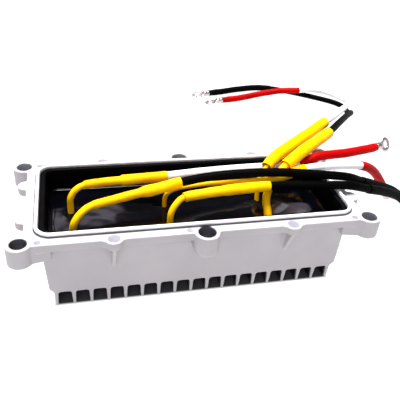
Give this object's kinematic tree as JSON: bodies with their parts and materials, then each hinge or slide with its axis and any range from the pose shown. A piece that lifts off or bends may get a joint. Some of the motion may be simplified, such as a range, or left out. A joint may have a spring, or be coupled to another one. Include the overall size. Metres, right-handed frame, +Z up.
{
  "type": "micro inverter",
  "caption": "Potted micro inverter: a long finned die-cast tub with bolt ears and a gasketed rim, filled with black resin, with spliced leads that end in ring terminals.",
  "frame": {"origin": "centre of the housing's base, on the surface that the fin tips stand on", "axes": "+X along the length of the housing, towards the side where four leads leave; +Y towards the side where two leads leave over the rim; +Z up, out of the open top"},
  "size_m": [0.3316, 0.3228, 0.0677],
  "materials": {
    "housing_paint": "light grey-white powder coat on a die casting, satin",
    "gasket_silicone": "white silicone cord gasket, satin",
    "tray_black": "black insulating sheet, satin",
    "resin_black": "black potting resin, glossy with soft unevenness",
    "pad_grey": "grey thermal pad, matte",
    "board_green": "green solder mask, gloss",
    "screw_steel": "zinc-plated steel",
    "package_black": "black moulded package",
    "film_yellow": "yellow film capacitor case",
    "core_ferrite": "dark grey sintered ferrite",
    "former_ivory": "ivory moulded coil former",
    "winding_copper": "enamelled copper wire",
    "sleeve_yellow": "bright yellow shrink sleeve, satin gloss",
    "wire_white": "white silicone insulation, satin",
    "wire_black": "black silicone insulation, satin",
    "sleeve_red": "red shrink sleeve, satin gloss",
    "sleeve_black": "black shrink sleeve, satin gloss",
    "tinned_copper": "tin-plated copper, soft sheen"
  },
  "bodies": {
    "root": {"housing": "housing_paint", "rim_gasket": "gasket_silicone", "insulating_tray": "tray_black", "thermal_pad": "pad_grey", "circuit_board": "board_green", "board_screws": "screw_steel", "power_transistors": "package_black", "film_capacitors": "film_yellow", "potting_resin": "resin_black", "splice_crimps": "tinned_copper", "left_core_lower": "core_ferrite", "left_core_upper": "core_ferrite", "left_coil_former": "former_ivory", "left_winding": "winding_copper", "middle_core_lower": "core_ferrite", "middle_core_upper": "core_ferrite", "middle_coil_former": "former_ivory", "middle_winding": "winding_copper", "right_core_lower": "core_ferrite", "right_core_upper": "core_ferrite", "right_coil_former": "former_ivory", "right_winding": "winding_copper", "lead_a_tail_sleeve": "sleeve_yellow", "lead_a_splice_sleeve": "sleeve_yellow", "lead_a_wire": "wire_white", "lead_a_end_sleeve": "sleeve_red", "lead_a_ring_terminal": "tinned_copper", "lead_b_tail_sleeve": "sleeve_yellow", "lead_b_splice_sleeve": "sleeve_yellow", "lead_b_wire": "wire_black", "lead_b_end_sleeve": "sleeve_black", "lead_b_ring_terminal": "tinned_copper", "lead_c_tail_sleeve": "sleeve_yellow", "lead_c_splice_sleeve": "sleeve_yellow", "lead_c_wire": "wire_white", "lead_c_end_sleeve": "sleeve_red", "lead_c_ring_terminal": "tinned_copper", "lead_d_tail_sleeve": "sleeve_yellow", "lead_d_splice_sleeve": "sleeve_yellow", "lead_d_wire": "wire_black", "lead_d_end_sleeve": "sleeve_black", "lead_d_ring_terminal": "tinned_copper", "lead_e_tail_sleeve": "sleeve_yellow", "lead_e_splice_sleeve": "sleeve_yellow", "lead_e_wire": "wire_white", "lead_e_end_sleeve": "sleeve_red", "lead_e_ring_terminal": "tinned_copper", "lead_f_tail_sleeve": "sleeve_yellow", "lead_f_splice_sleeve": "sleeve_yellow", "lead_f_wire": "wire_black", "lead_f_end_sleeve": "sleeve_black", "lead_f_ring_terminal": "tinned_copper"}
  },
  "joints": []
}
